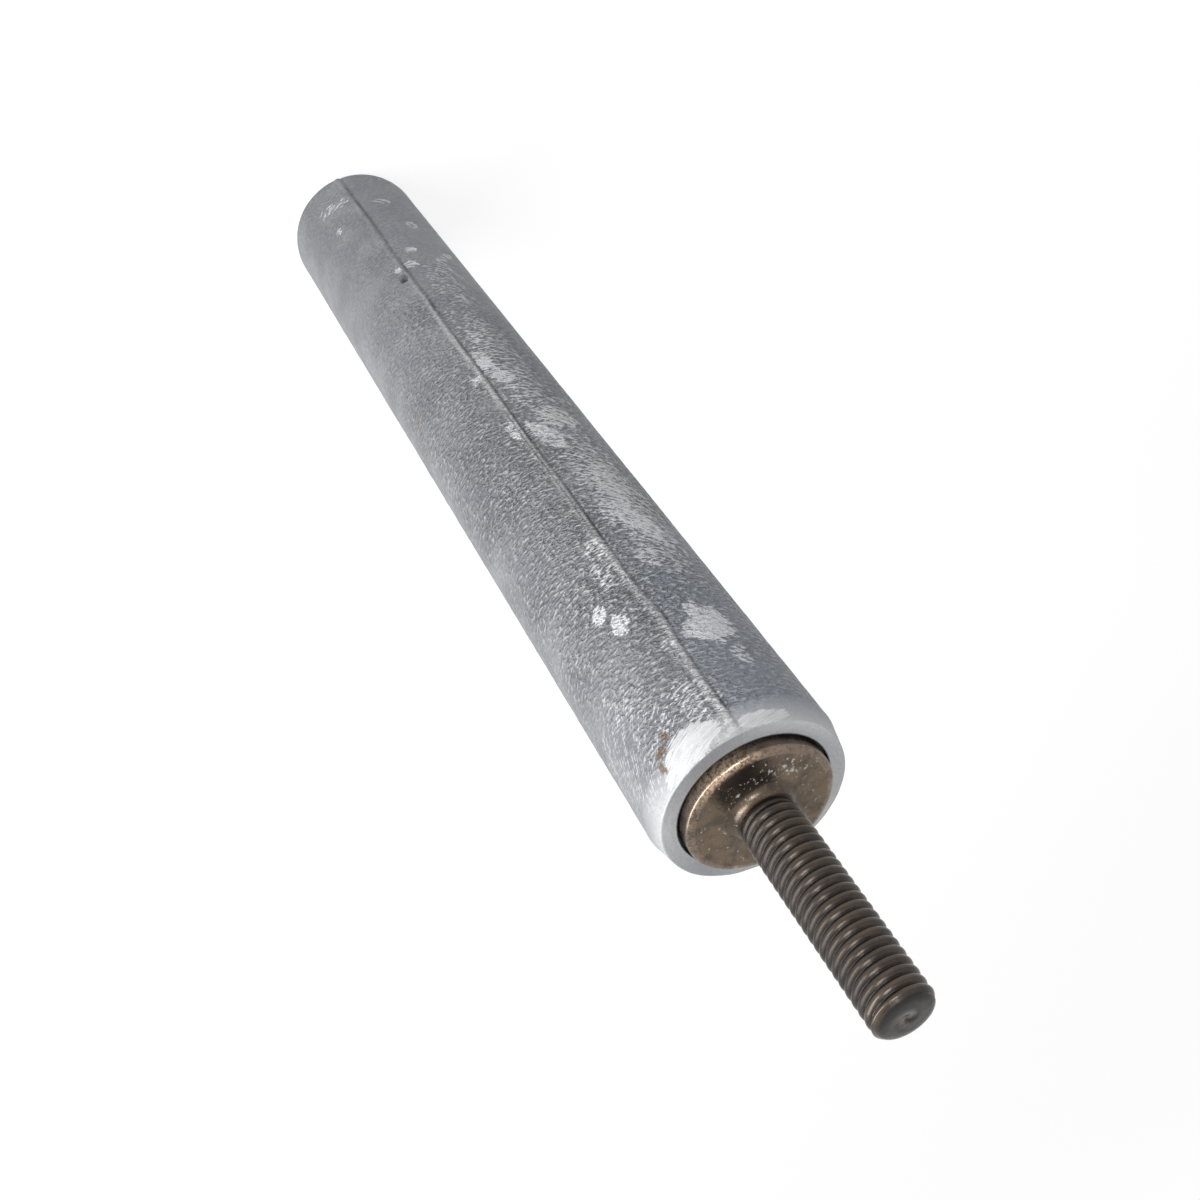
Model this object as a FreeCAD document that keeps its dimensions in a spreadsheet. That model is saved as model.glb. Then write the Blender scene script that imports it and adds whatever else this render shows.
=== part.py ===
import FreeCAD, Part
import os

import Sketcher
from FreeCAD import Vector

# Sacrificial anode rod for a storage water heater, in millimetres.
# A magnesium rod is cast round a steel stud. The stud's collar seals on the heater's
# flange, its threaded end takes the nut, and its plain core runs down inside the rod.
# The rod's axis is +Z, with the stud at the top. The origin is the middle of the plain
# end, on which the rod stands.

SIZES = (
    # The cast rod
    ("rod_length", 135.0, "Magnesium, plain end to head"),
    ("rod_radius", 9.95, "Magnesium, from a mould 20 mm across"),
    ("plain_end_round", 0.9, "Rounding of the plain end's rim"),
    ("head_bevel_width", 0.6, "Bevel of the head's rim, across"),
    ("head_bevel_rise", 2.6, "Bevel of the head's rim, along the axis"),
    ("seam_proud", 0.15, "Parting ridge above the rod's skin"),
    ("seam_crest_width", 0.25, "Parting ridge at its crest"),
    ("seam_foot_width", 0.8, "Parting ridge at its foot, inside the rod"),
    ("seam_bury", 0.5, "Foot of the parting ridge below the rod's skin"),
    # The steel stud
    ("collar_wall", 2.45, "Magnesium round the collar's seat, to the rod's skin"),
    ("collar_proud", 1.4, "Collar above the head"),
    ("collar_sunk", 1.8, "Collar below the head"),
    ("collar_edge", 0.15, "Bevel of the collar's rim"),
    ("crevice_width", 0.24, "Shrinkage gap round the collar"),
    ("crevice_depth", 0.7, "Shrinkage gap below the head"),
    ("blank_radius", 2.67, "Core and neck, the blank of the rolled thread"),
    ("core_cover", 15.0, "Magnesium between the core and the plain end"),
    ("stud_length", 23.9, "Collar face to the stud's tip"),
    ("neck_fillet", 1.05, "Fillet from the collar to the neck"),
    ("neck_length", 1.6, "Collar face to the start of the thread"),
    ("thread_radius", 2.97, "Over the crests of the thread"),
    ("runout_rise", 0.45, "Cone from the neck out to the crests"),
    ("tip_chamfer_width", 0.6, "Chamfer at the tip, across"),
    ("tip_chamfer_rise", 0.6, "Chamfer at the tip, along the axis"),
    ("dimple_radius", 1.0, "Centre mark in the tip's face, its rim"),
    ("dimple_depth", 0.25, "Centre mark in the tip's face, its depth"),
)

# The mould has two halves, so the rod has two parting ridges
SEAM_COUNT = 2

# The collar fills the head up to the magnesium wall that stands round it
COLLAR_RADIUS = "rod_radius - collar_wall"

# How near an edge has to lie to the place where it is looked for
EDGE_TOLERANCE = 0.001

document = FreeCAD.newDocument("anode_rod")


def make_sheet():
    """Writes the driving sizes, one to a row, each with its name as the cell's alias."""
    sheet = document.addObject("Spreadsheet::Sheet", "sizes")
    for row, (alias, value, note) in enumerate(SIZES, start=1):
        sheet.set("A%d" % row, note)
        sheet.set("B%d" % row, str(value))
        sheet.setAlias("B%d" % row, alias)
    document.recompute()
    return sheet


SHEET = make_sheet()


def size(alias):
    """Reads one driving size from the sheet."""
    return float(getattr(SHEET, alias))


def cells(formula):
    """Turns a sum of size names into an expression on the sheet's cells."""
    words = formula.split()
    return " ".join("sizes." + word if word[0].isalpha() else word for word in words)


def formula_value(formula):
    """Works out a sum of size names, such as 'rod_length - collar_sunk'."""
    total = 0.0
    sign = 1.0
    for word in formula.split():
        if word in ("+", "-"):
            sign = 1.0 if word == "+" else -1.0
        else:
            total += sign * (size(word) if word[0].isalpha() else float(word))
    return total


def origin_feature(body, role):
    """Finds one of the body's own origin planes or axes."""
    return next(item for item in body.Origin.OriginFeatures if item.Role == role)


def make_body(label):
    """Starts a piece whose own origin is the rod's origin."""
    body = document.addObject("PartDesign::Body", label)
    body.Label = label
    body.Placement = FreeCAD.Placement()
    document.recompute()
    return body


def make_sketch(body, name, role):
    """Starts a sketch on one of the body's origin planes."""
    sketch = body.newObject("Sketcher::SketchObject", name)
    sketch.AttachmentSupport = [(origin_feature(body, role), "")]
    sketch.MapMode = "FlatFace"
    return sketch


def tie(sketch, kind, first, second, formula, label):
    """Adds a dimension between two sketch points and binds it to the sheet."""
    value = formula_value(formula)
    index = sketch.addConstraint(Sketcher.Constraint(kind, *first, *second, value))
    sketch.renameConstraint(index, label)
    sketch.setExpression("Constraints." + label, cells(formula))


def add_outline(sketch, corners):
    """Draws a closed outline of straight lines through points in the sketch's plane."""
    for index, corner in enumerate(corners):
        following = corners[(index + 1) % len(corners)]
        sketch.addGeometry(Part.LineSegment(Vector(*corner, 0), Vector(*following, 0)), False)
    for index in range(len(corners)):
        following = (index + 1) % len(corners)
        sketch.addConstraint(Sketcher.Constraint("Coincident", index, 2, following, 1))


def draw_half_section(body, name, corners):
    """Draws a turned piece's half section: each corner is a name, a radius and a height.

    A radius of None lies on the axis and a height of None lies on the plain end's plane."""
    sketch = make_sketch(body, name, "XZ_Plane")
    places = []
    for _, radius, height in corners:
        across = 0.0 if radius is None else formula_value(radius)
        along = 0.0 if height is None else formula_value(height)
        places.append((across, along))
    add_outline(sketch, places)
    for index, (label, radius, height) in enumerate(corners):
        if radius is None:
            sketch.addConstraint(Sketcher.Constraint("PointOnObject", index, 1, -2))
        else:
            tie(sketch, "DistanceX", (-1, 1), (index, 1), radius, label + "_radius")
        if height is None:
            sketch.addConstraint(Sketcher.Constraint("PointOnObject", index, 1, -1))
        else:
            tie(sketch, "DistanceY", (-1, 1), (index, 1), height, label + "_height")
    return sketch


def revolve(body, name, sketch):
    """Turns a half section once round the rod's axis."""
    turned = body.newObject("PartDesign::Revolution", name)
    turned.Profile = sketch
    turned.ReferenceAxis = (sketch, ["V_Axis"])
    turned.Angle = 360.0
    sketch.Visibility = False
    document.recompute()
    return turned


def round_rim(body, name, base, radius, height, fillet):
    """Rounds the circular edge that has this radius and height."""
    wanted = []
    for index, edge in enumerate(base.Shape.Edges, start=1):
        curve = edge.Curve
        if not isinstance(curve, Part.Circle):
            continue
        near_radius = abs(curve.Radius - formula_value(radius)) < EDGE_TOLERANCE
        near_height = abs(curve.Center.z - formula_value(height)) < EDGE_TOLERANCE
        if near_radius and near_height:
            wanted.append("Edge%d" % index)
    rounded = body.newObject("PartDesign::Fillet", name)
    rounded.Base = (base, wanted)
    rounded.Radius = size(fillet)
    rounded.setExpression("Radius", cells(fillet))
    document.recompute()
    return rounded


def make_magnesium_body():
    """The cast rod: round bar, bevelled head with the collar's seat, and a blind core hole."""
    body = make_body("magnesium_body")
    collar_seat = "rod_length - collar_sunk"
    crevice_floor = "rod_length - crevice_depth"
    bevel_foot = "rod_length - head_bevel_rise"
    crevice_wall = COLLAR_RADIUS + " + crevice_width"
    corners = (
        ("plain_middle", None, None),
        ("plain_rim", "rod_radius", None),
        ("bevel_foot", "rod_radius", bevel_foot),
        ("bevel_top", "rod_radius - head_bevel_width", "rod_length"),
        ("crevice_mouth", crevice_wall, "rod_length"),
        ("crevice_floor", crevice_wall, crevice_floor),
        ("collar_side", COLLAR_RADIUS, crevice_floor),
        ("collar_seat", COLLAR_RADIUS, collar_seat),
        ("core_mouth", "blank_radius", collar_seat),
        ("core_floor", "blank_radius", "core_cover"),
        ("core_middle", None, "core_cover"),
    )
    section = draw_half_section(body, "cast_section", corners)
    cast = revolve(body, "cast_form", section)
    round_rim(body, "plain_end_rim", cast, "rod_radius", "0", "plain_end_round")
    add_parting_ridges(body)
    return body


def add_parting_ridges(body):
    """The two low ridges that the halves of the mould leave along the rod, on its X sides."""
    sketch = make_sketch(body, "ridge_section", "XY_Plane")
    sketch.AttachmentOffset.Base = Vector(0, 0, size("plain_end_round"))
    sketch.setExpression("AttachmentOffset.Base.z", cells("plain_end_round"))
    foot = formula_value("rod_radius - seam_bury")
    crest = formula_value("rod_radius + seam_proud")
    foot_side = size("seam_foot_width") / 2
    crest_side = size("seam_crest_width") / 2
    add_outline(sketch, (
        (foot, -foot_side),
        (crest, -crest_side),
        (crest, crest_side),
        (foot, foot_side),
    ))
    sketch.addConstraint(Sketcher.Constraint("Symmetric", 0, 1, 3, 1, -1))
    sketch.addConstraint(Sketcher.Constraint("Symmetric", 1, 1, 2, 1, -1))
    tie(sketch, "DistanceX", (-1, 1), (3, 1), "rod_radius - seam_bury", "foot_radius")
    tie(sketch, "DistanceX", (-1, 1), (2, 1), "rod_radius + seam_proud", "crest_radius")
    tie(sketch, "DistanceY", (0, 1), (3, 1), "seam_foot_width", "foot_width")
    tie(sketch, "DistanceY", (1, 1), (2, 1), "seam_crest_width", "crest_width")
    reach = "rod_length - head_bevel_rise - plain_end_round"
    ridge = body.newObject("PartDesign::Pad", "parting_ridge")
    ridge.Profile = sketch
    ridge.Length = formula_value(reach)
    ridge.setExpression("Length", cells(reach))
    sketch.Visibility = False
    document.recompute()
    pattern = body.newObject("PartDesign::PolarPattern", "parting_ridges")
    pattern.Originals = [ridge]
    pattern.Axis = (origin_feature(body, "Z_Axis"), [""])
    pattern.Angle = 360.0
    pattern.Occurrences = SEAM_COUNT
    body.Tip = pattern
    document.recompute()


def make_steel_stud():
    """The forged stud: core, upset collar, filleted neck, threaded length and bevelled tip."""
    body = make_body("steel_stud")
    collar_face = "rod_length + collar_proud"
    thread_start = collar_face + " + neck_length"
    tip = collar_face + " + stud_length"
    corners = (
        ("core_middle", None, "core_cover"),
        ("core_end", "blank_radius", "core_cover"),
        ("collar_root", "blank_radius", "rod_length - collar_sunk"),
        ("collar_back", COLLAR_RADIUS, "rod_length - collar_sunk"),
        ("collar_rim", COLLAR_RADIUS, collar_face + " - collar_edge"),
        ("collar_face", COLLAR_RADIUS + " - collar_edge", collar_face),
        ("neck_foot", "blank_radius", collar_face),
        ("neck_top", "blank_radius", thread_start),
        ("thread_foot", "thread_radius", thread_start + " + runout_rise"),
        ("thread_top", "thread_radius", tip + " - tip_chamfer_rise"),
        ("tip_rim", "thread_radius - tip_chamfer_width", tip),
        ("dimple_rim", "dimple_radius", tip),
        ("dimple_floor", None, tip + " - dimple_depth"),
    )
    section = draw_half_section(body, "stud_section", corners)
    forged = revolve(body, "stud_form", section)
    round_rim(body, "neck_root", forged, "blank_radius", collar_face, "neck_fillet")
    return body


def check_document(bodies):
    """Stops before anything is written if a feature failed or a piece isn't one solid."""
    for item in document.Objects:
        if {"Invalid", "Error"} & set(item.State):
            raise RuntimeError("%s failed: %s" % (item.Name, item.State))
    for body in bodies:
        shape = body.Shape
        if shape.isNull() or not shape.isValid() or len(shape.Solids) != 1:
            raise RuntimeError(body.Label + " isn't one valid solid")


def main():
    """Builds the two pieces and writes each to its own file."""
    bodies = (make_magnesium_body(), make_steel_stud())
    check_document(bodies)
    os.makedirs("parts", exist_ok=True)
    for body in bodies:
        body.Shape.exportStep("parts/%s.step" % body.Label)
        print("%s: %.1f cubic millimetres" % (body.Label, body.Shape.Volume))


main()
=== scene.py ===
"""Looks of a water heater anode rod: a cast magnesium rod with a threaded steel stud.

The file is laid out as an add-on. Its operators build the cast rod, the stud and the stage
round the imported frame, in metres, with the rod's axis on +Z and its plain end on the floor."""

import math
from types import SimpleNamespace

import bpy
import numpy as np
from bpy.props import FloatProperty, FloatVectorProperty, PointerProperty
from mathutils import Matrix, Vector


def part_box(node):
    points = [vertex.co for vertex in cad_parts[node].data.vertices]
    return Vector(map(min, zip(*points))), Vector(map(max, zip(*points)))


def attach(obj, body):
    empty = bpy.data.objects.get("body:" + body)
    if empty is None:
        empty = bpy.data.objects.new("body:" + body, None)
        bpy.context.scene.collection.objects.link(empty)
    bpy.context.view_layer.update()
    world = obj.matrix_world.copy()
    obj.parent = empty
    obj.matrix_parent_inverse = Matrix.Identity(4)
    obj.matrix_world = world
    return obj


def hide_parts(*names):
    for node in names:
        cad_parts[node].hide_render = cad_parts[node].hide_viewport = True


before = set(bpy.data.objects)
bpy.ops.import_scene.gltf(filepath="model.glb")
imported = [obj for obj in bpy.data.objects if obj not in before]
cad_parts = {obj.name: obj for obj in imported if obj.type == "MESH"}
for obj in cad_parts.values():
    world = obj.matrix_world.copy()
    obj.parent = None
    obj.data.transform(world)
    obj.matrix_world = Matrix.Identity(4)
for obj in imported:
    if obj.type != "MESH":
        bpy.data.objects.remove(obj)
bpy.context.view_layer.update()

bl_info = {
    "name": "Anode Rod",
    "version": (1, 0, 0),
    "blender": (4, 5, 0),
    "location": "View3D > Sidebar > Anode Rod",
    "description": "Cast magnesium anode rod with a threaded steel stud",
    "category": "Object",
}

MM = 0.001

ROD_LOW, ROD_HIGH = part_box("magnesium_body")
STUD_LOW, STUD_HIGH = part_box("steel_stud")
ROD_LENGTH = (ROD_HIGH[2] - ROD_LOW[2]) / MM
ROD_RADIUS = (ROD_HIGH[1] - ROD_LOW[1]) / 2 / MM
COLLAR_RADIUS = (STUD_HIGH[0] - STUD_LOW[0]) / 2 / MM
CORE_END = STUD_LOW[2] / MM
TIP_HEIGHT = STUD_HIGH[2] / MM

# The photograph's camera, in millimetres and the rod's own frame
PHOTO_EYE = (100.824, 28.705, 212.294)
PHOTO_FORWARD = (-0.66394, -0.18043, -0.72569)
PHOTO_UP = (0.72561, -0.39001, -0.56691)
PHOTO_FOCAL_PIXELS = 1418.0
PHOTO_PIXELS = 1200.0
SENSOR_WIDTH = 36.0

# Marks on the rod's skin: what it is, then its middle as arc from the seam and height above
# the plain end, its half widths across and along, its slant in degrees, and how strong it is
OXIDE_MARKS = (
    ("large pale patch", -3.5, 121.4, 2.5, 2.5, 0.0, 1.15),
    ("large pale patch, its lower point", -3.2, 119.0, 1.0, 1.6, 0.0, 0.9),
    ("large pale patch, its right side", -4.8, 120.2, 1.2, 1.9, 0.0, 1.0),
    ("small patches above it", -4.5, 126.2, 0.7, 1.6, 20.0, 0.55),
    ("small patch above it", -4.9, 125.0, 0.6, 0.5, 0.0, 0.6),
    ("upper flake", 3.6, 116.4, 1.0, 1.45, 0.0, 1.1),
    ("lower flake", 4.9, 113.7, 0.8, 1.2, 0.0, 1.1),
    ("strip beside the seam", 1.0, 122.0, 0.9, 0.6, 0.0, 0.5),
    # The light fields and pale hazes by the seam and the head below are painted highlight, drawn in
    # the oxide colour
    ("light field by the seam", 1.7, 109.0, 1.8, 3.4, 0.0, 0.33),
    ("light field by the seam, its foot", 1.2, 105.3, 1.3, 1.4, 0.0, 0.45),
    ("light field by the head", 3.0, 129.0, 3.6, 2.6, 0.0, 0.22),
    ("pale haze by the head", 10.0, 128.0, 6.5, 6.5, 0.0, 0.16),
    ("pale haze beside the seam", 1.6, 131.5, 2.0, 4.0, 0.0, 0.25),
    ("scrub field, upper", -4.8, 98.0, 3.6, 15.0, 0.0, 0.4),
    ("scrub field, middle", -3.4, 66.0, 3.0, 15.0, 0.0, 0.3),
    ("scrub field, lower", -4.6, 42.0, 3.0, 9.0, 0.0, 0.22),
    ("scrub marks, head side", -3.3, 109.5, 1.4, 2.4, 25.0, 0.65),
    ("scrub marks, upper", -4.6, 103.0, 1.9, 4.0, 20.0, 0.95),
    ("scrub marks, middle", -4.9, 95.0, 2.0, 4.4, 0.0, 0.9),
    ("scrub marks, lower", -3.4, 98.5, 1.2, 2.6, -20.0, 0.7),
    ("scrub marks by the seam", -2.0, 84.0, 1.4, 3.4, 15.0, 0.9),
    ("scrub marks, fan", -4.6, 80.0, 2.6, 2.6, 30.0, 0.8),
    ("scrub arc", -6.8, 75.5, 2.6, 0.8, 15.0, 0.4),
    ("white strip by the seam", 1.0, 80.8, 0.7, 2.6, 0.0, 0.7),
    ("white smear, top", -1.9, 69.5, 1.4, 1.8, 30.0, 1.0),
    ("white smear, middle", -1.0, 65.5, 1.0, 3.2, 0.0, 0.9),
    ("white smear, foot", -2.2, 58.0, 0.9, 3.6, 0.0, 0.5),
    ("white spot by the seam", 1.1, 68.5, 0.7, 0.9, 0.0, 0.7),
    ("side smear", -4.4, 67.0, 1.4, 1.0, 0.0, 0.3),
    ("old mark, upper", -1.0, 35.0, 1.0, 1.2, 30.0, 0.6),
    ("old mark, right", 1.1, 35.7, 0.6, 1.0, 0.0, 0.55),
    ("old mark, lower", -2.3, 30.6, 0.9, 0.9, 0.0, 0.55),
    ("slanting smear", -6.8, 32.5, 0.8, 3.6, -35.0, 0.35),
    ("oval spot", -5.4, 21.4, 0.8, 1.6, 0.0, 0.6),
    ("round spot", 4.8, 15.8, 0.55, 0.95, 0.0, 0.75),
    ("faint spot", -3.3, 12.2, 1.3, 1.2, 0.0, 0.35),
    ("faint band", 3.8, 8.4, 2.8, 1.6, 0.0, 0.3),
)
STAIN_MARKS = (
    ("stain beside the scuff", 7.4, 131.5, 0.7, 0.5, 20.0, 0.8),
    ("stain beside the scuff, upper", 8.1, 132.8, 0.35, 0.7, 0.0, 0.8),
    ("stain under the bevel", 6.2, 130.7, 0.35, 0.7, 0.0, 0.6),
    ("stain on the bevel", 3.2, 134.8, 1.3, 0.25, 0.0, 0.3),
    ("faint smudge", 12.0, 65.5, 0.9, 4.5, -25.0, 0.25),
    ("faint smudge, lower", 5.6, 26.0, 0.9, 1.6, 0.0, 0.22),
)
SCUFF_MARKS = (
    ("scuff beside the collar", 4.7, 133.2, 3.3, 2.0, 0.0, 1.0),
    ("scuff, its tail", 7.4, 134.5, 1.6, 1.2, 0.0, 0.7),
    ("scrape on the bevel", -2.4, 134.2, 2.8, 0.9, 0.0, 0.95),
    ("scrape on the bevel, left", 11.5, 133.4, 2.2, 0.5, 25.0, 0.25),
)
PIT_MARKS = (
    ("pit beside the seam", 1.15, 38.6, 0.55, 0.5, 0.0, 1.0),
    ("pit's tail", 0.75, 37.9, 0.35, 0.5, 40.0, 0.6),
)

# Clusters of white specks on the collar's face: middle and reach, mm
DUST_CLUSTERS = (
    (4.1, -3.4, 1.0),
    (4.8, -1.4, 0.6),
    (2.8, -4.6, 0.7),
    (3.4, 2.3, 0.7),
    (4.1, -0.4, 0.9),
)
# Worn bronze stretch of the collar's rim, partly wear and partly painted highlight, and the painted
# shade on one side of its face, degrees
RIM_WEAR_AND_HIGHLIGHT_MIDDLE = 22.0
RIM_WEAR_AND_HIGHLIGHT_REACH = 24.0
SHADE_MIDDLE = 12.0
SHADE_REACH = 30.0
# Painted shade on one side of the thread, degrees
THREAD_SHADE_MIDDLE = 62.0
THREAD_SHADE_REACH = 36.0

# Rows along the rod's side, columns round the stud and rows to a turn of its thread
ROD_ROWS = 398
STUD_COLUMNS = 128
ROWS_PER_TURN = 18
# Where the thread grows to its full depth, from the neck's upper end, mm
THREAD_GROWS = (-0.9, 0.6)
# Marks on the sides that the photograph doesn't show: seed, number, and arc from the seam, mm
FAR_SEED = 5
FAR_COUNT = 26
FAR_ARC = (18.0, 44.0)

# Heights of the bumps in the materials, m
PEEL_BUMP = 0.0016
SKIN_BUMP = 0.00004
BRUSH_BUMP = 0.00012
FORGE_BUMP = 0.0001
GRAIN_BUMP = 0.00003

# Softboxes: place and size in metres, and power in watts
SOFTBOXES = (
    ("side_softbox", (0.08, 0.56, 0.34), 0.75, 0.3, 6.8),
    ("top_softbox", (0.4, 0.1, 0.62), 0.2, 0.2, 1.9),
)
# The softboxes are aimed at this share of the rod's length
AIM_SHARE = 0.75
# The surrounding light on matt surfaces, and as the camera and gloss see it
WORLD_LIGHT = 0.4
WORLD_WHITE = 1.0
SEEN_RAYS = ("Is Camera Ray", "Is Glossy Ray", "Is Transmission Ray")
# The floor: half its width, m, its matt white, its own light, and the share of that light
# near the rod and far off, with the distances in m
FLOOR_HALF = 3.0
PAPER_WHITE = 0.82
PAPER_GLOW = 1.1
PAPER_NEAR, PAPER_FAR = 0.3, 1.2
NEAR_SHARE, FAR_SHARE = 0.7, 1.0


def in_millimetres(settings):
    """The sidebar's values by name, with the lengths in millimetres."""
    values = {name: getattr(settings, name) for name in type(settings).__annotations__}
    for name, value in values.items():
        if isinstance(value, float):
            values[name] = value / MM
    return SimpleNamespace(**values)


def rod_settings():
    """The rod's sizes in millimetres and its colours, as set in the sidebar."""
    return in_millimetres(bpy.context.scene.anode_rod)


def stud_settings():
    """The stud's sizes in millimetres and its colours, as set in the sidebar."""
    return in_millimetres(bpy.context.scene.anode_stud)


def smooth_step(low, high, value):
    """Rises from 0 at low to 1 at high along 3t^2 - 2t^3, and falls where low is above high."""
    share = np.clip((value - low) / (high - low), 0.0, 1.0)
    return share * share * (3.0 - 2.0 * share)


def cell_noise(points, cell, seed):
    """Smooth random height from -1 to 1.

    Each corner of a lattice of cubes holds a random number, and a point blends the eight
    round it with the smooth step of its place in the cube."""
    count = 64
    table = np.random.default_rng(seed).uniform(-1.0, 1.0, (count, count, count))
    scaled = points / cell
    low = np.floor(scaled).astype(int)
    part = scaled - low
    part = part * part * (3.0 - 2.0 * part)
    total = np.zeros(points.shape[:-1])
    for corner in np.ndindex(2, 2, 2):
        index = (low + corner) % count
        weight = np.prod(np.where(corner, part, 1.0 - part), axis=-1)
        total += weight * table[index[..., 0], index[..., 1], index[..., 2]]
    return total


def marks_field(marks, arc, height, points, ragged, seed):
    """Strength from 0 to 1 of listed marks on the skin.

    A mark is an ellipse in arc and height, turned by its slant. Its edge wanders with the
    noise and falls off over a third of its size."""
    noise = cell_noise(points, cell=0.9, seed=seed)
    noise = noise + 0.6 * cell_noise(points, cell=0.4, seed=seed + 1)
    field = np.zeros(arc.shape)
    for _, across, along, half_across, half_along, slant, strength in marks:
        turn = math.radians(slant)
        side = (arc - across) * math.cos(turn) + (height - along) * math.sin(turn)
        rise = (height - along) * math.cos(turn) - (arc - across) * math.sin(turn)
        reach = np.sqrt((side / half_across) ** 2 + (rise / half_along) ** 2) + ragged * noise
        field = np.maximum(field, strength * (1.0 - smooth_step(0.75, 1.15, reach)))
    return field


def lathe_mesh(name, x, y, z):
    """Makes a closed mesh from rows of points round the axis.

    Row 0 and the last row lie on the axis, and each becomes one vertex."""
    rows, columns = x.shape
    rings = np.stack([x, y, z], axis=-1)[1:-1].reshape(-1, 3)
    first = np.array([[0.0, 0.0, z[0, 0]]])
    last = np.array([[0.0, 0.0, z[-1, 0]]])
    points = np.vstack([first, rings, last]) * MM
    ring_count = rows - 2
    lattice = 1 + np.arange(ring_count * columns).reshape(ring_count, columns)
    beside = np.roll(lattice, -1, axis=1)
    quads = np.stack([lattice[:-1], beside[:-1], beside[1:], lattice[1:]], axis=-1).reshape(-1, 4)
    low_fan = np.stack([np.zeros(columns, int), beside[0], lattice[0]], axis=-1)
    high_fan = np.stack([np.full(columns, len(points) - 1), lattice[-1], beside[-1]], axis=-1)
    corners = np.concatenate([quads.ravel(), low_fan.ravel(), high_fan.ravel()])
    counts = np.concatenate([np.full(len(quads), 4), np.full(2 * columns, 3)])
    starts = np.concatenate([[0], np.cumsum(counts)[:-1]])
    mesh = bpy.data.meshes.new(name)
    mesh.vertices.add(len(points))
    mesh.vertices.foreach_set("co", points.ravel())
    mesh.loops.add(len(corners))
    mesh.loops.foreach_set("vertex_index", corners.astype(np.int32))
    mesh.polygons.add(len(counts))
    mesh.polygons.foreach_set("loop_start", starts.astype(np.int32))
    mesh.update(calc_edges=True)
    mesh.validate()
    mesh.shade_smooth()
    return mesh


def add_mask(mesh, name, values):
    """Stores one number for each vertex, from rows of points like the mesh's own."""
    attribute = mesh.attributes.new(name, "FLOAT", "POINT")
    flat = np.concatenate([[values[0, 0]], values[1:-1].ravel(), [values[-1, 0]]])
    attribute.data.foreach_set("value", flat.astype(np.float32))


def stretch(start, end, count):
    """Points from start up to but not including end."""
    return np.linspace(start, end, count, endpoint=False)


def stack_rows(pieces):
    """Joins the pieces of an outline into whole columns, with a single value for every row."""
    columns = ([], [], [], [])
    for piece in pieces:
        count = max(np.size(value) for value in piece)
        for column, value in zip(columns, piece):
            column.append(np.broadcast_to(value, count))
    return tuple(np.concatenate(column) for column in columns)


def outline_normals(radius, height):
    """Outward unit normals of an outline that runs up the outside of a turned piece."""
    run = np.gradient(radius)
    rise = np.gradient(height)
    length = np.maximum(np.hypot(run, rise), 1e-9)
    return rise / length, -run / length


def seam_offset(arc, height):
    """Signed distance from the seen parting line, which wanders a little near the head."""
    wander = -0.35 * np.exp(-((height - 118.5) / 3.2) ** 2) + 0.05 * np.sin(height / 4.0)
    return arc - wander


def seam_shape(arc, height, points):
    """Height of the skin round both parting lines, how dark their grooves are, and how worn
    their ridges.

    Each line is a narrow bell-shaped groove with a broader bell-shaped ridge beside it, and
    their strength along the rod follows slow noise. Part of the seen line is double."""
    along = np.stack([0 * height, 0 * height, height], axis=-1)
    strength = 0.75 + 0.35 * cell_noise(along, cell=6.0, seed=71)
    strength = strength + 0.25 * cell_noise(along, cell=1.3, seed=72)
    offset = seam_offset(arc, height)
    broad = 0.14 + 0.1 * smooth_step(60.0, 50.0, height)
    groove = strength * np.exp(-(offset / broad) ** 2)
    double = smooth_step(72.0, 78.0, height) * smooth_step(106.0, 98.0, height)
    groove = np.maximum(groove, 0.7 * double * np.exp(-((offset - 0.55) / 0.12) ** 2))
    ridge = np.exp(-((offset - 0.5) / 0.34) ** 2)
    behind = math.pi * ROD_RADIUS - np.abs(arc)
    back_groove = 0.8 * strength * np.exp(-(behind / 0.16) ** 2)
    back_ridge = np.exp(-((behind - 0.45) / 0.3) ** 2) * (arc > 0)
    raised = rod_settings().seam_height * (ridge + back_ridge)
    sunk = rod_settings().seam_groove * (groove + back_groove)
    dark = np.clip(groove + back_groove, 0.0, 1.0)
    worn = np.clip(ridge + back_ridge, 0.0, 1.0)
    return raised - sunk, dark, worn


def rod_columns():
    """Angles round the rod, closer together at the two parting lines."""
    half_turn = math.pi * ROD_RADIUS
    fine, back = 1.2, 1.0
    arcs = np.concatenate([
        stretch(-half_turn, -half_turn + back, 8),
        stretch(-half_turn + back, -fine, 86),
        stretch(-fine, fine, 24),
        stretch(fine, half_turn - back, 86),
        stretch(half_turn - back, half_turn, 8),
    ])
    return arcs / ROD_RADIUS


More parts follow.
